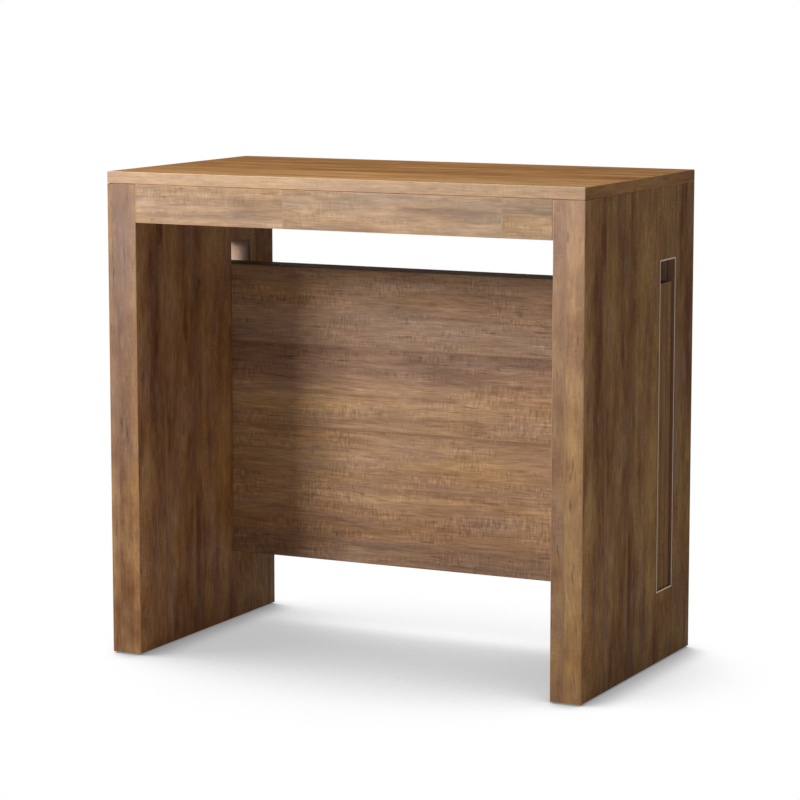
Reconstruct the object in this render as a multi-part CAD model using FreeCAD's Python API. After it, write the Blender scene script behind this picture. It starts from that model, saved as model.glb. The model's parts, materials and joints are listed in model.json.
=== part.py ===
import FreeCAD, Part
import os

# Extending console table, closed, with its front towards -Y.
# Lengths are in millimetres. X runs along the width, Y to the back and Z up.
# The origin is on the floor, under the middle of the top.

# Whole table
table_width = 800.0
table_depth = 440.0
table_height = 760.0

# Boards
top_thickness = 18.0
leg_thickness = 50.0
post_depth = 82.0
apron_thickness = 18.0
apron_height = 60.0
rear_board_thickness = 18.0
edge_ease = 0.7

# Gap between the front frame, which pulls out, and the fixed body
portal_clearance = 0.6

# Slot through each leg, and the leaves that stand in it on their long edges
leaf_count = 3
leaf_thickness = 18.0
leaf_gap = 1.5
leaf_lift = 0.2
leaf_end_recess = 4.0
finger_gap = 35.0
slot_front_clearance = 0.8
slot_rear_clearance = 3.2
slot_rear_setback = 80.0
slot_foot_height = 113.0
slot_head_height = 114.0

# Metal trim let into the outer mouth of each slot
trim_wall = 2.0
trim_depth = 12.0

# Telescopic rails: from the leg inwards one fixed member, the stages and one end member
stage_count = 4
rail_width = 12.0
rail_gap = 1.0
rail_wall = 2.2
rail_drop = 0.5
rail_end_gap = 4.0
slide_clearance = 0.35
tongue_neck = 10.0
tongue_depth = 6.0
dovetail_slope_share = 0.5

# Strip that packs the fixed rail off the leg, so that the front post clears the rail
packer_thickness = 2.0
packer_height = 40.0

# Steel bar that ties the two rails of a stage together from below
crossbar_rise = 2.0
crossbar_thickness = 4.0
crossbar_clearance = 2.5
crossbar_width = 40.0
crossbar_pitch = 70.0
crossbar_front_setback = 34.0

# Steel angle that holds each end rail to the back of the apron
bracket_thickness = 3.0
bracket_height = 36.0
bracket_reach = 48.0
bracket_foot = 40.0

# Wooden dowels in the board joints
dowel_diameter = 8.0
dowel_clearance = 0.1
apron_dowel_length = 40.0
top_dowel_reach = 11.0
top_dowel_length = 38.0
apron_dowel_height_shares = (0.28, 0.72)
top_dowel_depth_shares = (0.12, 0.48, 0.88)

# Plastic glides under the legs
glide_thickness = 2.0
glide_diameter = 32.0
glide_stem_diameter = 8.0
glide_stem_length = 16.0
glide_setback = 42.0

# How far a cutting shape runs past the face that it opens
overrun = 1.0

# Places worked out from the sizes above
half_width = table_width / 2
front = -table_depth / 2
back = table_depth / 2
leg_inside = half_width - leg_thickness
leg_middle = half_width - leg_thickness / 2
top_underside = table_height - top_thickness
portal_top = top_underside - portal_clearance
apron_bottom = top_underside - apron_height
apron_back = front + apron_thickness
rear_board_front = back - rear_board_thickness
post_back = front + post_depth
panel_front = post_back + portal_clearance

leaf_stack = leaf_count * leaf_thickness + (leaf_count - 1) * leaf_gap
slot_back = back - slot_rear_setback
slot_front = slot_back - slot_rear_clearance - leaf_stack - slot_front_clearance
slot_bottom = glide_thickness + slot_foot_height
slot_top = top_underside - slot_head_height
leaf_bottom = slot_bottom + leaf_lift
leaf_top = slot_top - finger_gap
leaf_end = half_width - leaf_end_recess

rail_pitch = rail_width + rail_gap
rail_bottom = apron_bottom + crossbar_rise + crossbar_thickness + crossbar_clearance
rail_top = top_underside - rail_drop
rail_middle = (rail_bottom + rail_top) / 2
rail_half_height = (rail_top - rail_bottom) / 2
rail_front = apron_back + rail_end_gap
rail_back = rear_board_front - rail_end_gap
first_rail_face = leg_inside - packer_thickness

tongue_neck_half = tongue_neck / 2
tongue_head_half = tongue_neck_half + dovetail_slope_share * tongue_depth
groove_depth = tongue_depth - rail_gap + slide_clearance
groove_mouth_half = tongue_neck_half + dovetail_slope_share * rail_gap + slide_clearance
groove_floor_half = groove_mouth_half + dovetail_slope_share * groove_depth

dowel_radius = dowel_diameter / 2
dowel_hole_radius = dowel_radius + dowel_clearance


def block(x_low, x_high, y_low, y_high, z_low, z_high):
    """A box between two corners."""
    corner = FreeCAD.Vector(x_low, y_low, z_low)
    return Part.makeBox(x_high - x_low, y_high - y_low, z_high - z_low, corner)


def eased(solid, joint_plane=None):
    """The board with a fine bevel on its edges, apart from those in the joint plane across Y."""
    edges = solid.Edges
    if joint_plane is not None:
        edges = [edge for edge in edges if abs(edge.CenterOfMass.y - joint_plane) > edge_ease]
    return solid.makeChamfer(edge_ease, edges)


def prism(points, along):
    """A solid swept along a vector from a closed outline of points."""
    outline = Part.makePolygon(points + points[:1])
    return Part.Face(outline).extrude(along)


def mirrored(shape):
    """The left-hand piece made from the right-hand one."""
    return shape.mirror(FreeCAD.Vector(0, 0, 0), FreeCAD.Vector(1, 0, 0))


def save(name, shape):
    """Writes one piece to its own file."""
    shape.exportStep(os.path.join("parts", name + ".step"))


def save_pair(name, right_shape):
    """Writes the right-hand piece and its mirror image on the left."""
    save("right_" + name, right_shape)
    save("left_" + name, mirrored(right_shape))


def cylinder(radius, length, base, direction):
    """A round pin or hole that starts at a point and runs along a direction."""
    return Part.makeCylinder(radius, length, base, direction)


# Dowels: where each one sits on the right-hand side
def apron_dowels(radius, end_clearance, board_middle):
    """Pins across the joint between a board's end and the leg's inside face."""
    length = apron_dowel_length + 2 * end_clearance
    start = leg_inside - length / 2
    pins = []
    for share in apron_dowel_height_shares:
        base = FreeCAD.Vector(start, board_middle, apron_bottom + share * apron_height)
        pins.append(cylinder(radius, length, base, FreeCAD.Vector(1, 0, 0)))
    return Part.makeCompound(pins)


def top_dowels(radius, end_clearance):
    """Upright pins between the top edge of the side panel and the underside of the top."""
    length = top_dowel_length + 2 * end_clearance
    start = top_underside + top_dowel_reach + end_clearance - length
    panel_depth = back - panel_front
    pins = []
    for share in top_dowel_depth_shares:
        base = FreeCAD.Vector(leg_middle, panel_front + share * panel_depth, start)
        pins.append(cylinder(radius, length, base, FreeCAD.Vector(0, 0, 1)))
    return Part.makeCompound(pins)


apron_middle = front + apron_thickness / 2
rear_board_middle = back - rear_board_thickness / 2
dowel_end_clearance = dowel_clearance
apron_dowel_holes = apron_dowels(dowel_hole_radius, dowel_end_clearance, apron_middle)
rear_dowel_holes = apron_dowels(dowel_hole_radius, dowel_end_clearance, rear_board_middle)
top_dowel_holes = top_dowels(dowel_hole_radius, dowel_end_clearance)


# Glides: a low disc under the leg and a stem pressed up into it
def glide(y_place):
    """One glide turned about its upright axis under the right-hand leg."""
    disc_radius = glide_diameter / 2
    stem_radius = glide_stem_diameter / 2
    stem_top = glide_thickness + glide_stem_length
    outline = [
        FreeCAD.Vector(leg_middle, y_place, 0),
        FreeCAD.Vector(leg_middle + disc_radius, y_place, 0),
        FreeCAD.Vector(leg_middle + disc_radius, y_place, glide_thickness),
        FreeCAD.Vector(leg_middle + stem_radius, y_place, glide_thickness),
        FreeCAD.Vector(leg_middle + stem_radius, y_place, stem_top),
        FreeCAD.Vector(leg_middle, y_place, stem_top),
    ]
    section = Part.Face(Part.makePolygon(outline + outline[:1]))
    return section.revolve(FreeCAD.Vector(leg_middle, y_place, 0), FreeCAD.Vector(0, 0, 1), 360)


def glide_hole(y_place):
    """The hole in the leg's foot that takes the stem of a glide."""
    base = FreeCAD.Vector(leg_middle, y_place, glide_thickness - overrun)
    length = glide_stem_length + dowel_end_clearance + overrun
    radius = glide_stem_diameter / 2 + dowel_clearance
    return cylinder(radius, length, base, FreeCAD.Vector(0, 0, 1))


post_glide_place = (front + post_back) / 2
middle_glide_place = panel_front + glide_setback
rear_glide_place = back - glide_setback


# Fixed body: top, side panels with their slots, slot trims and rear board
def table_top():
    """The thin top that covers the whole closed table."""
    board = eased(block(-half_width, half_width, front, back, top_underside, table_height))
    holes = Part.makeCompound([top_dowel_holes, mirrored(top_dowel_holes)])
    return board.cut(holes)


def slot(x_low, x_high, margin):
    """The tall slot through the right-hand leg, widened all round by a margin."""
    return block(
        x_low,
        x_high,
        slot_front - margin,
        slot_back + margin,
        slot_bottom - margin,
        slot_top + margin,
    )


def side_panel():
    """The deep fixed part of the right-hand leg, slotted for the leaves."""
    board = block(leg_inside, half_width, panel_front, back, glide_thickness, top_underside)
    board = eased(board, panel_front)
    openings = [
        slot(leg_inside - overrun, half_width + overrun, 0),
        slot(half_width - trim_depth, half_width + overrun, trim_wall),
        top_dowel_holes,
        rear_dowel_holes,
        glide_hole(middle_glide_place),
        glide_hole(rear_glide_place),
    ]
    return board.cut(Part.makeCompound(openings[:2])).cut(Part.makeCompound(openings[2:]))


def slot_trim():
    """A thin metal frame that lines the mouth of the slot, flush with the leg's outside."""
    outer = slot(half_width - trim_depth, half_width, trim_wall)
    return outer.cut(slot(half_width - trim_depth - overrun, half_width + overrun, 0))


def rear_board():
    """The narrow board between the side panels at the back, under the top."""
    board = block(-leg_inside, leg_inside, rear_board_front, back, apron_bottom, top_underside)
    holes = Part.makeCompound([rear_dowel_holes, mirrored(rear_dowel_holes)])
    return eased(board).cut(holes)


def leaf(place):
    """One stored extension leaf, counted from the front of the slot."""
    face = slot_front + slot_front_clearance + place * (leaf_thickness + leaf_gap)
    return eased(block(-leaf_end, leaf_end, face, face + leaf_thickness, leaf_bottom, leaf_top))


# Front frame: posts and apron
def front_post():
    """The front part of the right-hand leg, which pulls out with the apron."""
    board = block(leg_inside, half_width, front, post_back, glide_thickness, portal_top)
    holes = Part.makeCompound([apron_dowel_holes, glide_hole(post_glide_place)])
    return eased(board, post_back).cut(holes)


def front_apron():
    """The narrow board between the front posts."""
    board = block(-leg_inside, leg_inside, front, apron_back, apron_bottom, portal_top)
    holes = Part.makeCompound([apron_dowel_holes, mirrored(apron_dowel_holes)])
    return eased(board).cut(holes)


# Telescopic rails: each member's tongue runs in the groove of the member outside it
def rail_face(member):
    """How far the outer face of a member is from the middle of the table."""
    return first_rail_face - member * rail_pitch


def rail_outline(has_tongue, has_groove):
    """The section of a rail, as pairs of distance inwards and height over its middle."""
    points = [(0, -rail_half_height), (rail_width, -rail_half_height)]
    if has_groove:
        groove_floor = rail_width - groove_depth
        points += [(rail_width, -groove_mouth_half), (groove_floor, -groove_floor_half)]
        points += [(groove_floor, groove_floor_half), (rail_width, groove_mouth_half)]
    points += [(rail_width, rail_half_height), (0, rail_half_height)]
    if has_tongue:
        points += [(0, tongue_neck_half), (-tongue_depth, tongue_head_half)]
        points += [(-tongue_depth, -tongue_head_half), (0, -tongue_neck_half)]
    return points


def rail(member, y_low, y_high):
    """One aluminium rail, hollow above and below its dovetail."""
    face = rail_face(member)
    has_groove = member <= stage_count
    points = []
    for inward, height in rail_outline(member > 0, has_groove):
        points.append(FreeCAD.Vector(face - inward, y_low, rail_middle + height))
    solid = prism(points, FreeCAD.Vector(0, y_high - y_low, 0))
    chamber_inner = face - rail_width + rail_wall
    chamber_outer = face - rail_wall
    chamber_foot = groove_floor_half + rail_wall
    chamber_head = rail_half_height - rail_wall
    for low, high in ((chamber_foot, chamber_head), (-chamber_head, -chamber_foot)):
        chamber = block(
            chamber_inner,
            chamber_outer,
            y_low - overrun,
            y_high + overrun,
            rail_middle + low,
            rail_middle + high,
        )
        solid = solid.cut(chamber)
    return solid


def crossbar(member):
    """A flat bar under all rails that steps up at its ends to the rails of its own stage."""
    outer = rail_face(member)
    inner = outer - rail_width
    bottom = apron_bottom + crossbar_rise
    step = bottom + crossbar_thickness
    y_low = rail_front + crossbar_front_setback + (stage_count - member) * crossbar_pitch
    outline = [
        (-outer, bottom),
        (outer, bottom),
        (outer, rail_bottom),
        (inner, rail_bottom),
        (inner, step),
        (-inner, step),
        (-inner, rail_bottom),
        (-outer, rail_bottom),
    ]
    points = [FreeCAD.Vector(x, y_low, z) for x, z in outline]
    return prism(points, FreeCAD.Vector(0, crossbar_width, 0))


def rail_packer():
    """The strip between the fixed rail and the inside of the side panel."""
    half_height = packer_height / 2
    return block(
        first_rail_face,
        leg_inside,
        panel_front,
        rail_back,
        rail_middle - half_height,
        rail_middle + half_height,
    )


def end_bracket():
    """A steel angle between the end rail's inside face and the apron's back."""
    corner = rail_face(stage_count + 1) - rail_width
    low = rail_middle - bracket_height / 2
    outline = [
        (corner, apron_back),
        (corner, apron_back + bracket_reach),
        (corner - bracket_thickness, apron_back + bracket_reach),
        (corner - bracket_thickness, apron_back + bracket_thickness),
        (corner - bracket_foot, apron_back + bracket_thickness),
        (corner - bracket_foot, apron_back),
    ]
    points = [FreeCAD.Vector(x, y, low) for x, y in outline]
    return prism(points, FreeCAD.Vector(0, 0, bracket_height))


os.makedirs("parts", exist_ok=True)

# Fixed body
save("table_top", table_top())
save("rear_board", rear_board())
save_pair("side_panel", side_panel())
save_pair("slot_trim", slot_trim())
save_pair("rail_packer", rail_packer())
save_pair("fixed_rail", rail(0, rail_front, rear_board_front))
save_pair("top_dowels", top_dowels(dowel_radius, 0))
save_pair("rear_board_dowels", apron_dowels(dowel_radius, 0, rear_board_middle))
save_pair("middle_glide", glide(middle_glide_place))
save_pair("rear_glide", glide(rear_glide_place))

# Leaves, from the front of the slot to its back
for place, name in enumerate(("front_leaf", "middle_leaf", "rear_leaf")):
    save(name, leaf(place))

# Sliding stages
for member in range(1, stage_count + 1):
    save_pair("stage_%d_rail" % member, rail(member, rail_front, rail_back))
    save("stage_%d_crossbar" % member, crossbar(member))

# Front frame
save("front_apron", front_apron())
save_pair("front_post", front_post())
save_pair("end_rail", rail(stage_count + 1, apron_back, rail_back))
save_pair("end_bracket", end_bracket())
save_pair("apron_dowels", apron_dowels(dowel_radius, 0, apron_middle))
save_pair("front_glide", glide(post_glide_place))
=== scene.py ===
# %% [markdown]
# # An extending console table in printed wood
# The real table is a closed console of wood-print boards. Its front frame pulls out on rails that hide
# under the top, and its spare leaves stand on edge in slots through both legs. The boards, rails and
# fittings are exact solids already, so they are loaded as they are, and this lesson gives them their
# light, their finishes and the small fixings that a joiner would add.

# %% Load the solids
import json
import math

import bmesh
import bpy
from mathutils import Matrix, Vector

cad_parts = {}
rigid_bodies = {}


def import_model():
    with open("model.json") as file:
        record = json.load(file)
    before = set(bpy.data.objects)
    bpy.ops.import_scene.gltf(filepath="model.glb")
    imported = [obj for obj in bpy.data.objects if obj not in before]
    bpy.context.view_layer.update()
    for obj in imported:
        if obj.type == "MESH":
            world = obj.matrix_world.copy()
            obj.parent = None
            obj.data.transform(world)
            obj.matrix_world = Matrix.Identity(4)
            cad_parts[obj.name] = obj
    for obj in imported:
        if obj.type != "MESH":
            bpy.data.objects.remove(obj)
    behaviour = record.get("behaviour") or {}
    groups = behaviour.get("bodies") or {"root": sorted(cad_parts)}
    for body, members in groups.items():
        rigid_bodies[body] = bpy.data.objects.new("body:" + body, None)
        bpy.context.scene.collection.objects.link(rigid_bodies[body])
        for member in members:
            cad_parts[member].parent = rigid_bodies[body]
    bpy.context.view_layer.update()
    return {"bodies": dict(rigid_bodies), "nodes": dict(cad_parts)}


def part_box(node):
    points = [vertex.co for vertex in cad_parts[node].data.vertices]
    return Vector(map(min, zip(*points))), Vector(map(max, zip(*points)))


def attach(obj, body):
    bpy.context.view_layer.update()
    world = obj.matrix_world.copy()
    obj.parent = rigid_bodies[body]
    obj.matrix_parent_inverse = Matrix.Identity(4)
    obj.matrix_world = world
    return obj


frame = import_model()
nodes = frame["nodes"]

# %% [markdown]
# ## The camera
# The table is seen from the right of its front through a long lens. The place, turn and tilt come from
# matching the corners of the table. A shifted lens would keep the legs exactly upright, but the shift
# would stay in every other view, so the camera is simply tilted.

# %% Camera
camera_place = Vector((2.0438, -4.1510, 1.0623))
camera_turn = math.radians(26.255)
camera_tilt = math.radians(8.146)
camera_lens = 134.09

camera = bpy.data.objects.new("camera", bpy.data.cameras.new("camera"))
camera.location = camera_place
camera.rotation_euler = (math.pi / 2 - camera_tilt, 0, camera_turn)
camera.data.lens = camera_lens
bpy.context.scene.collection.objects.link(camera)
bpy.context.scene.camera = camera
bpy.context.scene.view_settings.view_transform = "Standard"

# %% [markdown]
# ## Helpers for shader nodes
# Every finish below is a small network of shader nodes. A few helpers keep the networks short: one adds a
# node and feeds its sockets, two do arithmetic, one moves a number from one range to another, and two mix.
# Some nodes have several sockets of one name, for numbers, vectors and colours, so their sockets are
# given by number.

# %% Node helpers
def feed(tree, node, feeds):
    """Sets sockets, by name or number, to values or links them to other sockets."""
    for socket, value in feeds.items():
        if isinstance(value, bpy.types.NodeSocket):
            tree.links.new(value, node.inputs[socket])
        else:
            node.inputs[socket].default_value = value


def add(tree, kind, feeds=None, **options):
    """Adds a shader node with its options and feeds."""
    node = tree.nodes.new("ShaderNode" + kind)
    for option, value in options.items():
        setattr(node, option, value)
    feed(tree, node, feeds or {})
    return node


def sum_up(tree, operation, *values):
    """The result of one arithmetic step on numbers or sockets."""
    return add(tree, "Math", dict(enumerate(values)), operation=operation).outputs[0]


def about_half(tree, mask, depth, base):
    """A mask that swings round a half, scaled to a depth and added to a base."""
    return sum_up(tree, "MULTIPLY_ADD", sum_up(tree, "SUBTRACT", mask, 0.5), depth, base)


def rescale(tree, value, start, end, first=0.0, last=1.0, **options):
    """A number moved from the range of start and end to that of first and last, and held inside it."""
    feeds = {"Value": value, 1: start, 2: end, 3: first, 4: last}
    return add(tree, "MapRange", feeds, **options).outputs[0]


def mix_numbers(tree, amount, first, second):
    """Two numbers mixed by an amount that may change over the surface."""
    return add(tree, "Mix", {0: amount, 2: first, 3: second}).outputs[0]


def mix_colours(tree, mode, amount, first, second):
    """Two colours mixed by an amount that may change over the surface."""
    feeds = {0: amount, 6: first, 7: second}
    return add(tree, "Mix", feeds, data_type="RGBA", blend_type=mode).outputs[2]


print("node helpers ready")

# %% [markdown]
# ## Node groups and materials
# Several finishes share a pattern, such as the grain. It could be drawn again in every material, but then a
# change would have to be made in each of them. So a pattern is built once, as a node group with named
# sockets, and each material places it with its own values.

# %% Groups and materials
def new_group(name, inputs, outputs):
    """An empty shader node group with named sockets, with what its inputs give and its outputs take."""
    tree = bpy.data.node_groups.new(name, "ShaderNodeTree")
    for socket, kind in inputs.items():
        tree.interface.new_socket(socket, in_out="INPUT", socket_type="NodeSocket" + kind)
    for socket in outputs:
        tree.interface.new_socket(socket, in_out="OUTPUT", socket_type="NodeSocketFloat")
    start = tree.nodes.new("NodeGroupInput")
    end = tree.nodes.new("NodeGroupOutput")
    return tree, start.outputs, end


def place_group(tree, group, feeds):
    """The outputs of a group that is placed in a material with its own values."""
    node = tree.nodes.new("ShaderNodeGroup")
    node.node_tree = group
    feed(tree, node, feeds)
    return node.outputs


def new_material(name):
    """A material with its Principled shader wired to the output."""
    material = bpy.data.materials.new(name)
    material.use_nodes = True
    tree = material.node_tree
    return material, tree, tree.nodes["Principled BSDF"]


print("group and material helpers ready")

# %% [markdown]
# ## White studio
# The table stands on a white sweep. A real sweep needs far more light than the table does, and that
# would bleach the wood. So the floor and the world are white to the camera and to reflections, while
# they light the table at a plain level.

# %% World
ambient_strength = 0.15
plain_white = (1, 1, 1, 1)


def seen_directly(tree):
    """One for rays from the camera, reflections and glass, and zero for light that falls on the table."""
    rays = add(tree, "LightPath").outputs
    direct = sum_up(tree, "MAXIMUM", rays["Is Camera Ray"], rays["Is Glossy Ray"])
    return sum_up(tree, "MAXIMUM", direct, rays["Is Transmission Ray"])


world = bpy.data.worlds.new("studio")
world.use_nodes = True
bpy.context.scene.world = world
sky = world.node_tree
sky.nodes.clear()
ambient = add(sky, "Background", {"Color": plain_white, "Strength": ambient_strength})
white = add(sky, "Background", {"Color": plain_white, "Strength": 1.0})
sky_mix = add(sky, "MixShader", {0: seen_directly(sky), 1: ambient.outputs[0], 2: white.outputs[0]})
add(sky, "OutputWorld", {"Surface": sky_mix.outputs[0]})
print("world:", world.name)

# %% Floor
floor_half_size = 30.0

floor_mesh = bpy.data.meshes.new("floor")
shape = bmesh.new()
bmesh.ops.create_grid(shape, x_segments=1, y_segments=1, size=floor_half_size)
shape.to_mesh(floor_mesh)
shape.free()
floor = bpy.data.objects.new("floor", floor_mesh)
bpy.context.scene.collection.objects.link(floor)
print("floor:", 2 * floor_half_size, "m wide")

# %% [markdown]
# ## The shadow on the floor
# The shadow on a sweep is soft and grey: it is deep where a leg meets the floor and fades within a hand's
# width, and a wider, fainter one lies under the whole table. A diffuse floor would also catch the warm
# light that the wood throws down. So the floor works out its shadow from how much of the table stands in
# the way of a leaning light, once near by and once wide.

# %% Floor shadow
bounce_grey = (0.72, 0.72, 0.72, 1)
contact_shade = {
    "reach": 0.062, "lean": Vector((-0.40, 0.15, 0.90)), "darkest": 0.15, "clear": 0.95, "depth": 0.56,
}
wide_shade = {
    "reach": 0.90, "lean": Vector((-0.16, 0.08, 0.95)), "darkest": 0.28, "clear": 0.70, "depth": 0.48,
}


def shadow(tree, reach, lean, darkest, clear, depth):
    """One on open floor, and less where something within reach hides a light that leans that way.

    Darkest and clear are the shares of open sky at which the shadow is full and at which it ends.
    """
    towards = add(tree, "CombineXYZ", dict(enumerate(lean.normalized()))).outputs[0]
    open_share = add(tree, "AmbientOcclusion", {"Distance": reach, "Normal": towards}).outputs["AO"]
    return rescale(tree, open_share, darkest, clear, 1 - depth, interpolation_type="SMOOTHSTEP")


floor_material = bpy.data.materials.new("floor_white")
floor_material.use_nodes = True
tree = floor_material.node_tree
tree.nodes.clear()
direct = seen_directly(tree)
glow_strength = sum_up(tree, "MULTIPLY", shadow(tree, **contact_shade), shadow(tree, **wide_shade))
paint = add(tree, "BsdfDiffuse", {"Color": bounce_grey})
glow = add(tree, "Emission", {"Color": plain_white, "Strength": glow_strength})
floor_mix = add(tree, "MixShader", {0: direct, 1: paint.outputs[0], 2: glow.outputs[0]})
add(tree, "OutputMaterial", {"Surface": floor_mix.outputs[0]})
floor_mesh.materials.append(floor_material)
print("shadow fades within:", contact_shade["reach"], "m at a leg and", wide_shade["reach"], "m around the table")

# %% [markdown]
# ## Lamps
# The front of the table is the bright side, the left leg throws a clear shadow on the stored leaf, and
# the right side is in shade. So a softbox stands at the front left, no wider than that shadow's soft
# border asks. A wide one hangs over the table and lights the top. The light of both comes back from the
# floor, so the shade needs no lamp of its own and is brightest low down.

# %% Softboxes
def softbox(name, place, aim, width, height, watts):
    """A soft rectangular lamp that faces a point."""
    lamp = bpy.data.lights.new(name, "AREA")
    lamp.shape = "RECTANGLE"
    lamp.size = width
    lamp.size_y = height
    lamp.energy = watts
    box = bpy.data.objects.new(name, lamp)
    box.location = place
    box.rotation_euler = (Vector(aim) - Vector(place)).to_track_quat("-Z", "Y").to_euler()
    bpy.context.scene.collection.objects.link(box)
    return box


softbox("front_softbox", place=(-1.46, -2.20, 1.50), aim=(0.0, -0.1, 0.50), width=0.68, height=0.75, watts=50)
softbox("top_softbox", place=(-0.70, 0.40, 4.50), aim=(0.0, 0.0, 0.60), width=2.00, height=1.80, watts=67)
print("lamps:", [lamp.name for lamp in bpy.data.lights])

# %% [markdown]
# ## Which way the grain runs
# A board is printed along its length, and the thin band glued to each of its edges has its own print
# along that edge. A texture that only reads X, Y and Z would run across some edges. This group takes the
# place turned so that the first number runs along the grain, the second across the wide face and the third
# through the board. From the way that a face points it works out its own along and across, and a seed. It
# also says where the face is an edge, an end, or the narrow bevel between two faces, which a joiner calls
# the arris.

# %% Board coordinates
board_group, given, result = new_group(
    "board_coordinates",
    {"Place": "Vector", "Facing": "Vector"},
    ("Along", "Across", "Seed", "Edge", "End", "Arris"),
)
facing_limit = 0.6
flat_limit = 0.95
seed_strides = (5.3, 3.1, 1.7)
length, width, depth = add(board_group, "SeparateXYZ", {0: given["Place"]}).outputs
facing = add(board_group, "SeparateXYZ", {0: given["Facing"]}).outputs


def faces_along(number, limit):
    """One where the face points along this axis of the board, either way."""
    size = sum_up(board_group, "ABSOLUTE", facing[number])
    return sum_up(board_group, "GREATER_THAN", size, limit)


end_face = faces_along(0, facing_limit)
any_edge = sum_up(board_group, "MAXIMUM", end_face, faces_along(1, facing_limit))
seed = 0.0
arris = 1.0
for number, stride in enumerate(seed_strides):
    way = sum_up(board_group, "ROUND", facing[number])
    seed = sum_up(board_group, "MULTIPLY_ADD", way, stride, seed)
    arris = sum_up(board_group, "SUBTRACT", arris, faces_along(number, flat_limit))
feed(board_group, result, {
    "Along": mix_numbers(board_group, end_face, length, width),
    "Across": mix_numbers(board_group, any_edge, width, depth),
    "Seed": seed,
    "Edge": any_edge,
    "End": end_face,
    "Arris": arris,
})
print("group:", board_group.name)

# %% [markdown]
# ## Grain
# Walnut shows the same thing at several sizes: broad clouds of colour, pale bloom, dark flames, mottled
# figure, long streaks, thin dark veins, and short fibres with dark pores. Each is a noise that is stretched
# along the board. A little slow waviness keeps the streaks from looking ruled. Flames and pores are the high
# parts of such a noise, and a vein is the line where one crosses its middle.

# %% Stretched grain
grain_group, given, result = new_group(
    "long_grain",
    {"Along": "Float", "Across": "Float", "Seed": "Float"},
    ("Cloud", "Bloom", "Flame", "Mottle", "Streak", "Vein", "Fibre", "Pore"),
)


def stretched_noise(tree, given, seed_step, along_scale, across_scale, detail, roughness):
    """Noise with that many bumps in a metre along the board and across it."""
    spot = add(tree, "CombineXYZ", {
        0: sum_up(tree, "MULTIPLY", given["Along"], along_scale),
        1: sum_up(tree, "MULTIPLY", given["Across"], across_scale),
        2: sum_up(tree, "ADD", given["Seed"], seed_step),
    }).outputs[0]
    feeds = {"Vector": spot, "Scale": 1.0, "Detail": detail, "Roughness": roughness}
    return add(tree, "TexNoise", feeds).outputs[0]


# Seed step, bumps in a metre along and across, detail and roughness of each noise
wave_noise = (0.0, 3.4, 9.0, 2.0, 0.50)
grain_noises = {
    "Cloud": (0.0, 4.6, 32.0, 3.0, 0.58),
    "Bloom": (40.0, 5.5, 30.0, 3.0, 0.60),
    "Mottle": (80.0, 14.0, 36.0, 3.0, 0.60),
    "Streak": (0.0, 11.0, 170.0, 4.0, 0.68),
    "Fibre": (20.0, 34.0, 430.0, 2.0, 0.60),
}
wave_depth = 0.012
bend = stretched_noise(grain_group, given, *wave_noise)
bent = {
    "Along": given["Along"],
    "Across": sum_up(grain_group, "MULTIPLY_ADD", bend, wave_depth, given["Across"]),
    "Seed": given["Seed"],
}
feed(grain_group, result, {
    kind: stretched_noise(grain_group, bent, *noise) for kind, noise in grain_noises.items()
})
print("group:", grain_group.name, "with", list(grain_noises))

# %% Pores, flames and veins
pore_noise = (60.0, 22.0, 300.0, 1.0, 0.50)
pore_range = (0.66, 0.76)
flame_noise = (100.0, 3.4, 46.0, 3.0, 0.60)
flame_range = (0.48, 0.72)
vein_noise = (120.0, 3.0, 24.0, 2.0, 0.50)
vein_half_width = 0.006
vein_patch_noise = (140.0, 5.0, 16.0, 1.0, 0.50)
vein_patch_range = (0.48, 0.62)

vein = stretched_noise(grain_group, bent, *vein_noise)
off_vein = sum_up(grain_group, "ABSOLUTE", sum_up(grain_group, "SUBTRACT", vein, 0.5))
vein_line = rescale(grain_group, off_vein, 0.0, vein_half_width, 1.0, 0.0)
vein_patch = rescale(grain_group, stretched_noise(grain_group, bent, *vein_patch_noise), *vein_patch_range)
feed(grain_group, result, {
    "Pore": rescale(grain_group, stretched_noise(grain_group, bent, *pore_noise), *pore_range),
    "Flame": rescale(grain_group, stretched_noise(grain_group, bent, *flame_noise), *flame_range),
    "Vein": sum_up(grain_group, "MULTIPLY", vein_line, vein_patch),
})
print("masks of the grain:", len(grain_noises) + 3)

# %% [markdown]
# ## Saw marks
# The print copies rough-sawn planks: patches of short fine ticks stand across the grain. A noise that is
# long across the board and very short along it gives the ticks, and a slower one says where they show.

# %% Saw marks
saw_group, given, result = new_group(
    "saw_marks",
    {"Along": "Float", "Across": "Float", "Seed": "Float"},
    ("Mark",),
)
tick_noise = (5.0, 300.0, 75.0, 1.0, 0.50)
patch_noise = (9.0, 9.0, 38.0, 3.0, 0.60)
patch_range = (0.42, 0.62)
tick = sum_up(saw_group, "SUBTRACT", stretched_noise(saw_group, given, *tick_noise), 0.5)
patch = rescale(saw_group, stretched_noise(saw_group, given, *patch_noise), *patch_range)
feed(saw_group, result, {"Mark": sum_up(saw_group, "MULTIPLY", tick, patch)})
print("group:", saw_group.name)

# %% [markdown]
# ## Planks and staves
# All boards share one recipe. A ramp across the board holds its planks: along each plank's own width it
# gives a lightness, a warmth from chestnut to gold and an amount of pale bloom. The edge bands have a ramp
# of their own, and a third one runs along the board, for staves that are butted end to end. A picture of
# wood would be quicker, but the ramps can follow each board and need no file.

# %% Places on a board
axis_orders = {"along_x_flat": (0, 1, 2), "along_x_upright": (0, 2, 1), "along_z": (2, 1, 0)}


def turned(tree, vector, order):
    """A vector with its three numbers in another order."""
    parts = add(tree, "SeparateXYZ", {0: vector}).outputs
    return add(tree, "CombineXYZ", dict(enumerate(parts[axis] for axis in order))).outputs[0]


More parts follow.
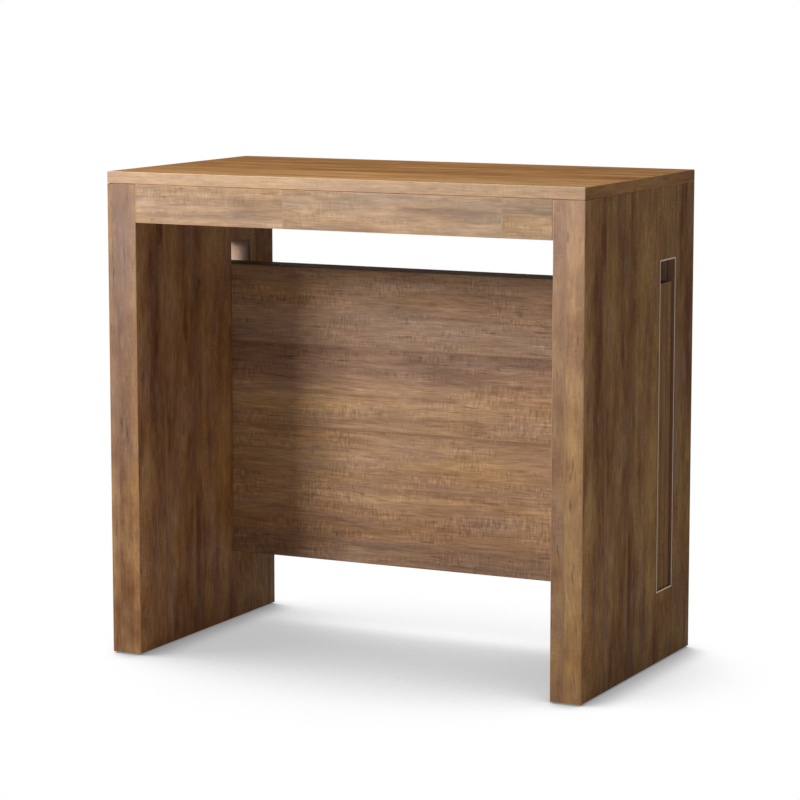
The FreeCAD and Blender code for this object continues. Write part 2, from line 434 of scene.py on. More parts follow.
def inside_box(tree, spot, low, high):
    """One inside a box, and zero outside it."""
    parts = add(tree, "SeparateXYZ", {0: spot}).outputs
    inside = 1.0
    for part, start, end in zip(parts, low, high):
        middle = (start + end) / 2
        inside = sum_up(tree, "MULTIPLY", inside, sum_up(tree, "COMPARE", part, middle, end - middle))
    return inside


print("ways to lay a board:", list(axis_orders))

# %% Tones of the planks
plank_seed_step = 17.0
stave_seed_step = 7.0


def tone_ramp(tree, spot, span, planks):
    """The lightness, warmth and bloom at a place across or along a board, and a plank seed.

    A colour ramp can't hold a negative number, so each of the three is kept as half of itself plus a half.
    """
    node = add(tree, "ValToRGB", {0: rescale(tree, spot, *span)})
    stops = [(place, tone, number) for number, plank in enumerate(planks) for place, *tone in plank]
    elements = node.color_ramp.elements
    while len(elements) < len(stops):
        elements.new(1.0)
    for element, (place, tone, number) in zip(elements, stops):
        element.position = place
        element.color = (*[value / 2 + 0.5 for value in tone], number / len(planks))
    kept = add(tree, "SeparateColor", {0: node.outputs["Color"]}).outputs
    return (*[about_half(tree, value, 2.0, 0.0) for value in kept], node.outputs["Alpha"])


def plank_tones(tree, board, face, edge, staves):
    """The lightness, warmth and bloom of each plank and stave, and a seed for its grain."""
    tones = zip(tone_ramp(tree, board["Across"], *face), tone_ramp(tree, board["Across"], *edge))
    light, warmth, bloom, plank = [mix_numbers(tree, board["Edge"], *pair) for pair in tones]
    stave_side, stave_span, stave_planks = staves
    stave_light, stave_warmth, stave_bloom, stave = tone_ramp(tree, board["Along"], stave_span, stave_planks)
    on_side = board["Edge"] if stave_side == "edge" else sum_up(tree, "SUBTRACT", 1.0, board["Edge"])
    light = sum_up(tree, "MULTIPLY", light, mix_numbers(tree, on_side, 1.0, stave_light))
    warmth = sum_up(tree, "MULTIPLY_ADD", on_side, stave_warmth, warmth)
    bloom = sum_up(tree, "MULTIPLY_ADD", on_side, stave_bloom, bloom)
    seed = sum_up(tree, "MULTIPLY_ADD", plank, plank_seed_step, board["Seed"])
    return light, warmth, bloom, sum_up(tree, "MULTIPLY_ADD", stave, stave_seed_step, seed)


print("seed steps of planks and staves:", plank_seed_step, stave_seed_step)

# %% [markdown]
# ## Colour and shade of the print
# On the real board all of this is one printed sheet. Here the grain masks are used twice: they push the
# colour between red-brown and gold and towards the bloom, and they make it lighter or darker. The band on
# an edge has a calmer figure than the face, so each mask has a depth for faces and one for edges. The arris
# is painted paler, as painted light that lifts the shade in the seams between boards.

# %% Grain on a board
def grain_on_board(tree, board, seed, detail):
    """The masks of the grain and the saw marks on a board, and how deep each goes on a face or an edge."""
    spot = {"Along": board["Along"], "Across": board["Across"], "Seed": seed}
    masks = {"Saw": place_group(tree, saw_group, spot)["Mark"]}
    for side, pace in zip(("Along", "Across"), detail["pace"]):
        spot[side] = sum_up(tree, "MULTIPLY", spot[side], pace)
    masks.update(place_group(tree, grain_group, spot).items())
    face_and_edge = {kind: (detail[kind], detail[kind] * detail["edge_share"])
                     for kind in ("cloud", "bloom", "mottle", "streak", "fibre", "saw")}
    face_and_edge["blotch"] = (detail["mottle"], detail["edge_mottle"])
    face_and_edge["flame"] = (detail["flame"], detail["edge_flame"])
    depths = {kind: mix_numbers(tree, board["Edge"], *pair) for kind, pair in face_and_edge.items()}
    masks["Flame"] = sum_up(tree, "MULTIPLY", masks["Flame"], depths["flame"])
    return masks, depths


print("grain can be placed on a board")

# %% Board colour
chestnut_to_gold = (
    (0.0, (0.250, 0.105, 0.050)),
    (0.5, (0.385, 0.200, 0.084)),
    (1.0, (0.490, 0.285, 0.110)),
)
flame_redness = 2.0


def board_colour(tree, board, masks, depths, detail, warmth, bloom):
    """The colour of the print, by its warmth and its bloom, with a tint on the wide faces."""
    warmth = about_half(tree, masks["Cloud"], depths["cloud"], warmth)
    warmth = about_half(tree, masks["Mottle"], depths["blotch"], warmth)
    warmth = sum_up(tree, "MULTIPLY_ADD", masks["Flame"], -flame_redness, warmth)
    warmth = sum_up(tree, "MULTIPLY_ADD", board["End"], detail["end_warmth"], warmth)
    bloom = about_half(tree, masks["Bloom"], depths["bloom"], bloom)
    bloom = sum_up(tree, "MULTIPLY_ADD", board["End"], detail["end_bloom"], bloom)
    ramp = add(tree, "ValToRGB", {0: warmth})
    ramp.color_ramp.elements.new(0.5)
    for element, (start, colour) in zip(ramp.color_ramp.elements, chestnut_to_gold):
        element.position = start
        element.color = (*colour, 1)
    colour = mix_colours(tree, "MIX", bloom, ramp.outputs[0], detail["bloom_colour"])
    on_face = sum_up(tree, "SUBTRACT", 1.0, board["Edge"])
    return mix_colours(tree, "MULTIPLY", on_face, colour, (*detail["face_tint"], 1))


print("wood colours:", len(chestnut_to_gold))

# %% Board shade and relief
gloss_tint = (0.90, 0.70, 0.50, 1)
least_roughness = 0.58
streak_roughness = 0.20
saw_relief = 0.8
relief_strength = 0.4
relief_height = 0.0003


def board_light(tree, board, masks, depths, detail, light):
    """The plank's lightness times what the ends, the arris and each mask make of it."""
    # The ends and the arris take a lightness of their own; the paler arris is painted light that lifts the shade
    # of the seams.
    factors = [mix_numbers(tree, board[kind], 1.0, detail[kind.lower() + "_light"]) for kind in ("End", "Arris")]
    for kind in ("Mottle", "Streak", "Fibre"):
        factors.append(about_half(tree, masks[kind], depths[kind.lower()], 1.0))
    factors.append(sum_up(tree, "SUBTRACT", 1.0, masks["Flame"]))
    for kind in ("Vein", "Pore"):
        factors.append(sum_up(tree, "MULTIPLY_ADD", masks[kind], -detail[kind.lower()], 1.0))
    factors.append(sum_up(tree, "MULTIPLY_ADD", masks["Saw"], depths["saw"], 1.0))
    for factor in factors:
        light = sum_up(tree, "MULTIPLY", light, factor)
    return light


def press_relief(tree, shader, masks, gloss):
    """Roughness, gloss and a faint relief, because such paper is pressed in register with its print."""
    rough = sum_up(tree, "MULTIPLY_ADD", masks["Streak"], streak_roughness, least_roughness)
    tree.links.new(rough, shader.inputs["Roughness"])
    shader.inputs["Specular IOR Level"].default_value = gloss
    shader.inputs["Specular Tint"].default_value = gloss_tint
    relief = sum_up(tree, "MULTIPLY_ADD", masks["Saw"], saw_relief, masks["Fibre"])
    relief = sum_up(tree, "SUBTRACT", relief, masks["Pore"])
    bump = add(tree, "Bump", {"Strength": relief_strength, "Distance": relief_height, "Height": relief})
    tree.links.new(bump.outputs[0], shader.inputs["Normal"])


print("relief of the print:", 1000 * relief_height, "mm")

# %% Board finish
# Painted shade: the walls inside a slot are painted dark, where shade falls in the recess.
slot_wall_shade = (0.200, 0.118, 0.072, 1)


def board_finish(name, grain, face, edge, staves, detail, slot=None):
    """One printed board: its planks across the faces, those of its edge bands, its staves and its grain.

    Where a slot is cut through the board, slot gives the box of its walls, which are painted dark as painted
    shade.
    """
    material, tree, shader = new_material(name)
    place = add(tree, "TexCoord").outputs
    order = axis_orders[grain]
    board = place_group(tree, board_group, {
        "Place": turned(tree, place["Object"], order),
        "Facing": turned(tree, place["Normal"], order),
    })
    light, warmth, bloom, seed = plank_tones(tree, board, face, edge, staves)
    masks, depths = grain_on_board(tree, board, seed, detail)
    colour = board_colour(tree, board, masks, depths, detail, warmth, bloom)
    light = board_light(tree, board, masks, depths, detail, light)
    shade = add(tree, "CombineColor", {0: light, 1: light, 2: light}).outputs[0]
    colour = mix_colours(tree, "MULTIPLY", 1.0, colour, shade)
    if slot:
        colour = mix_colours(tree, "MIX", inside_box(tree, place["Object"], *slot), colour, slot_wall_shade)
    tree.links.new(colour, shader.inputs["Base Color"])
    press_relief(tree, shader, masks, detail["gloss"])
    return material


# The dark colour of the slot walls is painted shade.
print("stain of the slot walls:", slot_wall_shade[:3])

# %% [markdown]
# ## Planks of each board
# The planks are placed as shares of the board's width, each with its lightness, warmth and bloom at
# a few places across it. The bands do the same across an edge, and the staves along the board. The legs read
# the whole depth of the table, so that a front post and the panel behind it match when the table is closed.

# %% Spans of the boards
table_low, table_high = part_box("table_top")
panel_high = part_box("right_side_panel")[1]
post_low, post_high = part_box("right_front_post")
leaf_low, leaf_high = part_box("front_leaf")
apron_low, apron_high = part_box("front_apron")
leg_depth = (post_low.y, panel_high.y)
leg_height = (post_low.z, post_high.z)
table_width = (table_low.x, table_high.x)
leaf_depth = (leaf_low.y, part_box("rear_leaf")[1].y)
split_share = (post_high.y - leg_depth[0]) / (leg_depth[1] - leg_depth[0])
print("leg split at", round(split_share, 3), "of the depth")

# %% Planks of the legs
border_share = 0.004
leg_planks = (
    ((0.000, 1.24, 0.66, 0.00), (0.070, 1.20, 0.62, 0.00), (0.110, 1.06, 0.46, 0.00),
     (split_share, 1.07, 0.52, 0.00)),
    ((split_share + border_share, 1.04, 0.56, 0.12), (0.240, 1.06, 0.66, 0.02), (0.330, 1.02, 0.60, 0.00),
     (0.400, 0.94, 0.48, 0.00)),
    ((0.404, 0.90, 0.44, 0.14), (0.440, 0.94, 0.48, 0.10), (0.470, 1.10, 0.70, 0.00), (0.590, 1.12, 0.70, 0.00),
     (0.680, 1.10, 0.58, 0.00), (0.826, 1.02, 0.50, 0.00)),
    ((0.830, 1.02, 0.54, 0.14), (0.880, 1.04, 0.60, 0.04), (0.920, 0.96, 0.48, 0.00), (1.000, 1.02, 0.56, 0.00)),
)
# The bands on the leg fronts hold the print of the edge bands. Their strong pale bloom is partly a painted sheen
# of the front light.
front_bands_and_sheen = {
    "left": (
        ((0.00, 1.08, 0.66, 0.42), (0.10, 1.06, 0.62, 0.46), (0.16, 0.96, 0.44, 0.60), (0.30, 0.94, 0.40, 0.64)),
        ((0.31, 0.94, 0.42, 0.62), (0.72, 0.98, 0.46, 0.58), (0.84, 1.10, 0.66, 0.42), (1.00, 1.12, 0.68, 0.40)),
    ),
    "right": (
        ((0.00, 1.07, 0.58, 0.36), (0.38, 1.07, 0.58, 0.38)),
        ((0.44, 1.15, 0.74, 0.30), (0.62, 1.22, 0.82, 0.24), (0.90, 1.17, 0.76, 0.26), (1.00, 1.10, 0.66, 0.30)),
    ),
}
# Painted sheen: the leg fronts are painted lighter and paler towards the top, and darker and more saturated near
# the floor.
front_sheen_staves = {
    "left": ((
        (0.00, 0.80, 0.06, -0.52), (0.20, 0.83, 0.06, -0.50), (0.40, 0.83, 0.02, -0.28),
        (0.56, 0.83, 0.00, -0.12), (0.75, 0.84, 0.02, 0.02), (1.00, 0.94, 0.04, 0.18),
    ),),
    "right": ((
        (0.00, 0.80, -0.05, -0.20), (0.20, 0.84, 0.00, -0.15), (0.50, 0.94, 0.00, 0.00),
        (0.75, 1.06, 0.00, 0.12), (1.00, 1.24, 0.00, 0.34),
    ),),
}
print("planks across a leg:", len(leg_planks))

# %% Planks of the leaves
leaf_planks = (
    ((0.000, 0.90, 0.36, 0.56), (0.080, 0.92, 0.40, 0.54)),
    ((0.084, 1.04, 0.52, 0.42), (0.200, 1.14, 0.62, 0.44), (0.225, 1.28, 0.76, 0.40), (0.266, 1.16, 0.66, 0.42)),
    ((0.270, 1.12, 0.62, 0.42), (0.360, 1.20, 0.76, 0.44), (0.440, 1.14, 0.68, 0.46), (0.454, 0.98, 0.50, 0.46)),
    ((0.460, 1.12, 0.74, 0.50), (0.520, 1.21, 0.84, 0.52), (0.590, 1.24, 0.80, 0.52), (0.620, 1.13, 0.44, 0.56),
     (0.680, 1.00, 0.23, 0.58), (0.736, 0.88, 0.10, 0.58)),
    ((0.740, 0.98, 0.56, 0.66), (0.800, 1.00, 0.58, 0.74), (0.880, 1.05, 0.56, 0.58), (0.940, 1.00, 0.50, 0.54),
     (1.000, 0.80, 0.44, 0.50)),
)
# Painted shade: the leaf's edge bands are dark, standing in for the shade under the table top on its top edge.
leaf_shaded_bands = (((0.0, 0.36, 0.56, 0.10), (1.0, 0.36, 0.56, 0.10)),)
# Painted shade: the left third of the leaf, where the left leg's shadow falls, is painted a little darker and
# warmer.
leaf_shadow_staves = ((
    (0.00, 0.97, 0.0, -0.28), (0.16, 0.99, 0.0, -0.22), (0.34, 1.00, 0.0, 0.0), (1.00, 1.00, 0.0, 0.0),
),)
print("planks across a leaf:", len(leaf_planks))

# %% Planks of the top and the apron
top_planks = (
    ((0.00, 1.26, 0.76, 0.26), (0.04, 1.31, 0.80, 0.20), (0.12, 1.31, 0.80, 0.16)),
    ((0.13, 1.30, 0.78, 0.12), (0.25, 1.29, 0.72, 0.04), (0.36, 1.29, 0.66, 0.00)),
    ((0.37, 1.14, 0.50, 0.00), (0.52, 1.21, 0.56, 0.00)),
    ((0.53, 1.18, 0.52, 0.00), (0.72, 1.22, 0.56, 0.00)),
    ((0.73, 1.13, 0.45, 0.00), (0.86, 1.18, 0.48, 0.00)),
    ((0.87, 1.23, 0.50, 0.00), (1.00, 1.23, 0.50, 0.00)),
)
# The top's edge bands are pale with a strong bloom, partly a painted sheen of the front light on its front edge.
top_bands_and_sheen = (((0.0, 1.50, 0.80, 0.66), (1.0, 1.58, 0.82, 0.70)),)
top_staves = ((
    (0.00, 0.91, 0.02, 0.02), (0.32, 0.91, 0.02, 0.02), (0.50, 1.03, 0.03, 0.03), (0.70, 0.94, 0.04, 0.04),
    (1.00, 0.97, 0.05, 0.06),
),)
# The apron is painted pale with a strong bloom, partly its print and partly a painted sheen of the front light.
apron_planks_and_sheen = ((
    (0.00, 1.28, 0.84, 0.54), (0.45, 1.28, 0.82, 0.54), (0.60, 1.18, 0.74, 0.64), (1.00, 1.26, 0.80, 0.58),
),)
apron_bands = (((0.0, 1.06, 0.62, 0.25), (1.0, 1.06, 0.62, 0.25)),)
# Painted shade: a thin dark line at each end of the apron's face, where its seams with the posts lie. Between them
# the apron grows a little lighter towards the right.
apron_staves_and_seam_shade = (
    ((0.0000, 0.62, 0.0, 0.05), (0.0018, 0.62, 0.0, 0.05), (0.0022, 1.01, 0.0, 0.05), (0.3695, 1.02, 0.0, 0.05)),
    ((0.3700, 1.02, 0.0, 0.08), (0.6000, 1.05, 0.0, 0.09), (0.8855, 1.07, 0.0, 0.09)),
    ((0.8860, 1.06, 0.0, 0.08), (0.9978, 1.04, 0.0, 0.08), (0.9982, 0.62, 0.0, 0.08), (1.0000, 0.62, 0.0, 0.08)),
)
print("planks across the top:", len(top_planks), "and staves along the apron:", len(apron_staves_and_seam_shade))

# %% [markdown]
# ## Dressing the boards
# The same print comes off the press stronger on one board and calmer on another. Each board therefore has
# its own list of depths, and takes the rest from a plain one. The top and the apron are sunnier than the
# legs, and the pale bloom of the apron and of the top's edges is partly a painted sheen of the front light.
# The two legs are one print in two tones, as painted light and shade: the right leg is lighter than the left
# one, which has more bloom.

# %% How deep the grain goes
mauve = (0.430, 0.285, 0.222, 1)
oat = (0.432, 0.292, 0.216, 1)
straw = (0.440, 0.315, 0.229, 1)
plain_detail = {
    "pace": (1.0, 1.0), "pore": 0.35, "edge_share": 0.60, "end_light": 1.0, "end_warmth": 0.0, "end_bloom": 0.0,
    "arris_light": 1.0, "gloss": 0.03, "face_tint": (1.0, 1.0, 1.0),
}
leg_detail = plain_detail | {
    "cloud": 2.3, "bloom": 1.6, "flame": 0.22, "mottle": 0.52, "streak": 0.48, "vein": 0.10, "fibre": 0.90,
    "saw": 0.60, "edge_mottle": 1.70, "edge_flame": 0.14, "pace": (1.25, 0.66), "arris_light": 1.6,
    "bloom_colour": mauve,
}
# The leaf's end_light brings its ends back up from the painted shade of its dark edge bands.
leaf_detail = plain_detail | {
    "cloud": 0.9, "bloom": 1.0, "flame": 0.16, "mottle": 0.45, "streak": 0.90, "vein": 0.36, "fibre": 0.90,
    "saw": 1.20, "edge_mottle": 0.45, "edge_flame": 0.04, "end_light": 2.90, "bloom_colour": oat,
}
apron_detail = plain_detail | {
    "cloud": 0.6, "bloom": 1.2, "flame": 0.22, "mottle": 0.66, "streak": 0.60, "vein": 0.14, "fibre": 0.72,
    "saw": 0.55, "edge_mottle": 0.60, "edge_flame": 0.05, "pore": 0.25, "edge_share": 1.0, "arris_light": 1.8,
    "bloom_colour": straw,
}
# On the top's ends, end_warmth and end_bloom take most of the painted sheen of the edge bands off again.
top_detail = plain_detail | {
    "cloud": 1.5, "bloom": 0.4, "flame": 0.22, "mottle": 0.42, "streak": 0.66, "vein": 0.0, "fibre": 0.70,
    "saw": 0.30, "edge_mottle": 0.60, "edge_flame": 0.10, "edge_share": 0.8, "end_light": 1.06,
    "end_warmth": -0.35, "end_bloom": -0.60, "arris_light": 1.35, "gloss": 0.0, "face_tint": (1.02, 0.96, 0.86),
    "bloom_colour": straw,
}
print("board details:", len(plain_detail), "shared and", len(leg_detail) - len(plain_detail), "of their own")

# %% Finish of a leg
trim_wall = 0.002
wall_margin = 0.0002
# Painted light and shade: the two legs are one print, painted lighter on the right leg, whose visible side is in
# shade, and with more bloom on the left leg's shaded inner side.
leg_painted_light = {"left": 0.97, "right": 1.08}
leg_painted_bloom = {"left": 0.15, "right": 0.0}


def toned(planks, factor, more_bloom):
    """The same planks with their lightness scaled and more bloom."""
    return [[(place, light * factor, warmth, bloom + more_bloom) for place, light, warmth, bloom in plank]
            for plank in planks]


def leg_finish(side):
    """The finish of one leg's post and panel, with its own front edge and the walls of its slot."""
    low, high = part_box(side + "_side_panel")
    trim_low, trim_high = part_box(side + "_slot_trim")
    inset = Vector((1, 1)) * (trim_wall - wall_margin)
    walls = (Vector((low.x, *(trim_low.yz + inset))), Vector((high.x, *(trim_high.yz - inset))))
    planks = toned(leg_planks, leg_painted_light[side], leg_painted_bloom[side])
    return board_finish(
        side + "_leg_board", "along_z", (leg_depth, planks), ((low.x, high.x), front_bands_and_sheen[side]),
        ("edge", leg_height, front_sheen_staves[side]), leg_detail, walls)


print("legs to finish:", list(leg_painted_light))

# %% Board materials
top_board = board_finish(
    "top_board", "along_x_flat", ((table_low.y, table_high.y), top_planks),
    ((table_low.z, table_high.z), top_bands_and_sheen), ("face", table_width, top_staves), top_detail)
apron_board = board_finish(
    "apron_board", "along_x_upright", ((apron_low.z, apron_high.z), apron_planks_and_sheen),
    ((apron_low.y, apron_high.y), apron_bands), ("face", (apron_low.x, apron_high.x), apron_staves_and_seam_shade),
    apron_detail)
leaf_board = board_finish(
    "leaf_board", "along_x_upright", ((leaf_low.z, leaf_high.z), leaf_planks), (leaf_depth, leaf_shaded_bands),
    ("face", (leaf_low.x, leaf_high.x), leaf_shadow_staves), leaf_detail)
print("board materials:", [board.name for board in (top_board, apron_board, leaf_board)])

# %% Dressing the boards
dressed_nodes = set()


def dress(node_name, material):
    """Gives a carried-over solid one finish."""
    slots = nodes[node_name].data.materials
    slots.clear()
    slots.append(material)
    dressed_nodes.add(node_name)


dress("table_top", top_board)
for node_name in ("front_apron", "rear_board"):
    dress(node_name, apron_board)
for node_name in ("front_leaf", "middle_leaf", "rear_leaf"):
    dress(node_name, leaf_board)
for side in ("left", "right"):
    leg_board = leg_finish(side)
    dress(side + "_front_post", leg_board)
    dress(side + "_side_panel", leg_board)
print("boards dressed:", len(dressed_nodes))

# %% [markdown]
# ## Metals
# Rails and slot trims are drawn aluminium, so fine lines run along them. The crossbars and angles are zinc
# plated, which is cloudy rather than lined. An image of brushed metal would stretch along the rails, so one
# group makes both patterns from noise, and each metal takes what it needs.

# %% Drawn lines and clouds
metal_group, given, result = new_group("drawn_metal", {"Place": "Vector"}, ("Line", "Cloud"))
line_stretch = (6.0, 1400.0, 1400.0)
line_place = add(metal_group, "VectorMath", {0: given["Place"], 1: line_stretch}, operation="MULTIPLY").outputs[0]
line_feeds = {"Vector": line_place, "Scale": 1.0, "Detail": 2.0, "Roughness": 0.6}
cloud_feeds = {"Vector": given["Place"], "Scale": 46.0, "Detail": 4.0, "Roughness": 0.65, "Distortion": 0.4}
feed(metal_group, result, {
    "Line": add(metal_group, "TexNoise", line_feeds).outputs[0],
    "Cloud": add(metal_group, "TexNoise", cloud_feeds).outputs[0],
})
print("group:", metal_group.name)

# %% Metal finishes
cloud_roughness = 0.20
line_roughness = 0.15
line_relief = {"Strength": 0.25, "Distance": 0.0002}


def metal_finish(name, order, dark, pale, lines, clouds, roughness):
    """A metal between two tones, with drawn lines along the first axis of the order and cloudy plating."""
    material, tree, shader = new_material(name)
    place = add(tree, "TexCoord").outputs["Object"]
    masks = place_group(tree, metal_group, {"Place": turned(tree, place, order)})
    tone = about_half(tree, masks["Line"], lines, 0.5)
    tone = about_half(tree, masks["Cloud"], clouds, tone)
    tree.links.new(mix_colours(tree, "MIX", tone, (*dark, 1), (*pale, 1)), shader.inputs["Base Color"])
    rough = about_half(tree, masks["Cloud"], cloud_roughness, roughness)
    tree.links.new(about_half(tree, masks["Line"], line_roughness, rough), shader.inputs["Roughness"])
    bump = add(tree, "Bump", line_relief | {"Height": masks["Line"]})
    tree.links.new(bump.outputs[0], shader.inputs["Normal"])
    shader.inputs["Metallic"].default_value = 1.0
    return material


lines_along_y = (1, 0, 2)
lines_along_z = (2, 0, 1)
rail_aluminium = metal_finish(
    "rail_aluminium", lines_along_y, (0.50, 0.51, 0.52), (0.74, 0.74, 0.75), lines=1.2, clouds=0.4, roughness=0.36)
trim_metal = metal_finish(
    "trim_metal", lines_along_z, (0.24, 0.182, 0.132), (0.40, 0.315, 0.240), lines=1.0, clouds=0.5, roughness=0.42)
zinc_steel = metal_finish(
    "zinc_steel", lines_along_y, (0.38, 0.39, 0.40), (0.66, 0.67, 0.68), lines=0.2, clouds=2.2, roughness=0.40)
print("metals:", [metal.name for metal in (rail_aluminium, trim_metal, zinc_steel)])

# %% [markdown]
# ## The slot trim
# A trim is bright on the lip that frames the slot, and painted brown on the sides that look into it, as a
# painted shade, so that the slot stays dark. Two pieces with two materials would show the same, but the trim
# is one solid. So its material tells the lip by how far out it lies and is bare metal there alone.

# %% Painted shade inside the slot
lip_depth = 0.0008
# Painted shade: the trim's sides inside the slot are painted brown instead of bare metal.
trim_side_shade = (0.370, 0.200, 0.116, 1)
tree = trim_metal.node_tree
shader = tree.nodes["Principled BSDF"]
reach = add(tree, "SeparateXYZ", {0: add(tree, "TexCoord").outputs["Object"]}).outputs[0]
lip_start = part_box("right_slot_trim")[1].x - lip_depth
on_lip = sum_up(tree, "GREATER_THAN", sum_up(tree, "ABSOLUTE", reach), lip_start)
bright = shader.inputs["Base Color"].links[0].from_socket
tree.links.new(mix_colours(tree, "MIX", on_lip, trim_side_shade, bright), shader.inputs["Base Color"])
tree.links.new(on_lip, shader.inputs["Metallic"])
print("bright lip starts at:", round(lip_start, 4), "m")

# %% Dressing the metal
for side in ("left", "right"):
    dress(side + "_slot_trim", trim_metal)
    dress(side + "_fixed_rail", rail_aluminium)
    dress(side + "_end_rail", rail_aluminium)
    dress(side + "_end_bracket", zinc_steel)
stages = [name for name in frame["bodies"] if name.startswith("stage_")]
for stage in stages:
    dress(stage + "_crossbar", zinc_steel)
    for side in ("left", "right"):
        dress(side + "_" + stage + "_rail", rail_aluminium)
print("metal stages:", len(stages))

# %% [markdown]
# ## Plastic and hidden wood
# The plastic glides have a fine moulded texture, the packing strips the flecks of hardboard, and the dowels
# and the slide strips a plain pale wood. One colour each would look like putty close up, so all four are
# one tone mottled with another by one group, and the same mottle gives them a little relief.

# %% Speckle
speckle_group, given, result = new_group(
    "speckle", {"Place": "Vector", "Stretch": "Vector", "Scale": "Float"}, ("Speckle",))
stretched = {0: given["Place"], 1: given["Stretch"]}
speckle_feeds = {
    "Vector": add(speckle_group, "VectorMath", stretched, operation="MULTIPLY").outputs[0],
    "Scale": given["Scale"], "Detail": 5.0, "Roughness": 0.65,
}
feed(speckle_group, result, {"Speckle": add(speckle_group, "TexNoise", speckle_feeds).outputs[0]})
print("group:", speckle_group.name)

# %% Plastic, hardboard and pale wood
speckle_contrast = 2.4
speckle_roughness = 0.25
speckle_strength = 0.35
speckle_gloss = 0.3


def speckled_finish(name, dark, pale, scale, stretch, roughness, relief):
    """A material that is one tone mottled with another, with a relief of the same pattern."""
    material, tree, shader = new_material(name)
    place = add(tree, "TexCoord").outputs["Object"]
    feeds = {"Place": place, "Stretch": stretch, "Scale": scale}
    speckle = place_group(tree, speckle_group, feeds)["Speckle"]
    amount = about_half(tree, speckle, speckle_contrast, 0.5)
    tree.links.new(mix_colours(tree, "MIX", amount, (*dark, 1), (*pale, 1)), shader.inputs["Base Color"])
    tree.links.new(about_half(tree, speckle, speckle_roughness, roughness), shader.inputs["Roughness"])
    bump = add(tree, "Bump", {"Strength": speckle_strength, "Distance": relief, "Height": speckle})
    tree.links.new(bump.outputs[0], shader.inputs["Normal"])
    shader.inputs["Specular IOR Level"].default_value = speckle_gloss
    return material


even = (1.0, 1.0, 1.0)
dark_plastic = speckled_finish(
    "dark_plastic", (0.020, 0.020, 0.021), (0.042, 0.041, 0.040),
    scale=900.0, stretch=even, roughness=0.50, relief=0.00012)
hardboard = speckled_finish(
    "hardboard", (0.105, 0.058, 0.030), (0.245, 0.150, 0.086),
    scale=420.0, stretch=even, roughness=0.78, relief=0.0003)
dowel_beech = speckled_finish(
    "dowel_beech", (0.440, 0.270, 0.150), (0.620, 0.430, 0.270),
    scale=260.0, stretch=(0.2, 1.0, 1.0), roughness=0.66, relief=0.0002)
pale_strip = speckled_finish(
    "pale_strip", (0.412, 0.262, 0.184), (0.550, 0.372, 0.272),
    scale=300.0, stretch=(0.3, 1.0, 1.6), roughness=0.70, relief=0.0002)

for side in ("left", "right"):
    dress(side + "_rail_packer", hardboard)
    for kind in ("front", "middle", "rear"):
        dress(side + "_" + kind + "_glide", dark_plastic)
    for kind in ("top", "rear_board", "apron"):
        dress(side + "_" + kind + "_dowels", dowel_beech)
print("solids without a finish:", sorted(set(nodes) - dressed_nodes))

# %% [markdown]
# ## Small pieces
# Screws, caps and strips are too small to matter in the solids, so they are modelled here. Each set is one
# mesh that rides on the body that carries it, because dozens of loose objects would be harder to keep
# together. Caps and strips are blocks that are squeezed to their size and bevelled.

# %% Helpers for small pieces
def join_shape(shape, part):
    """Adds a finished part to the shape of its set."""
    copy = bpy.data.meshes.new("part_copy")
    part.to_mesh(copy)
    part.free()
    shape.from_mesh(copy)
    bpy.data.meshes.remove(copy)


def soft_block(middle, size, bevel, segments):
    """A block with soft edges."""
    block = bmesh.new()
    stretch = Matrix.Translation(middle) @ Matrix.Diagonal((*size, 1))
    bmesh.ops.create_cube(block, size=1.0, matrix=stretch)
    bmesh.ops.bevel(
        block, geom=block.edges[:], offset=bevel, affect="EDGES", segments=segments, profile=0.5, material=-1)
    return block


def add_piece(name, shape, body, material):
    """Turns a finished shape into a piece that rides on a body and takes a finish."""
    mesh = bpy.data.meshes.new(name)
    shape.to_mesh(mesh)
    shape.free()
    piece = bpy.data.objects.new(name, mesh)
    bpy.context.scene.collection.objects.link(piece)
    mesh.materials.append(material)
    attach(piece, body)
    return piece


# %% [markdown]
# ## Screws
# Each crossbar is held up to its two rails by pan-head screws, and each angle is screwed to its rail and to
# the apron. A head is a disc of twelve sides, drawn up and bevelled. Twelve corners are just what the cross
# recess needs: every third corner of the inner ring is pulled in, and the cross is pushed down.

# %% Pan-head screw
head_sides = 12
head_radius = 0.0042
head_height = 0.0016
crown_bevel = head_height * 0.6
recess_inset = head_radius * 0.12
recess_depth = 0.0009
recess_reach_share = 0.62
recess_notch_share = 0.24
notch_degrees, slack_degrees = 45, 5


def lifted(head, faces, height):
    """Draws faces up or pushes them down, and returns the corners that moved."""
    drawn = bmesh.ops.extrude_face_region(head, geom=faces)["geom"]
    corners = [item for item in drawn if isinstance(item, bmesh.types.BMVert)]
    bmesh.ops.translate(head, verts=corners, vec=(0, 0, height))
    return corners


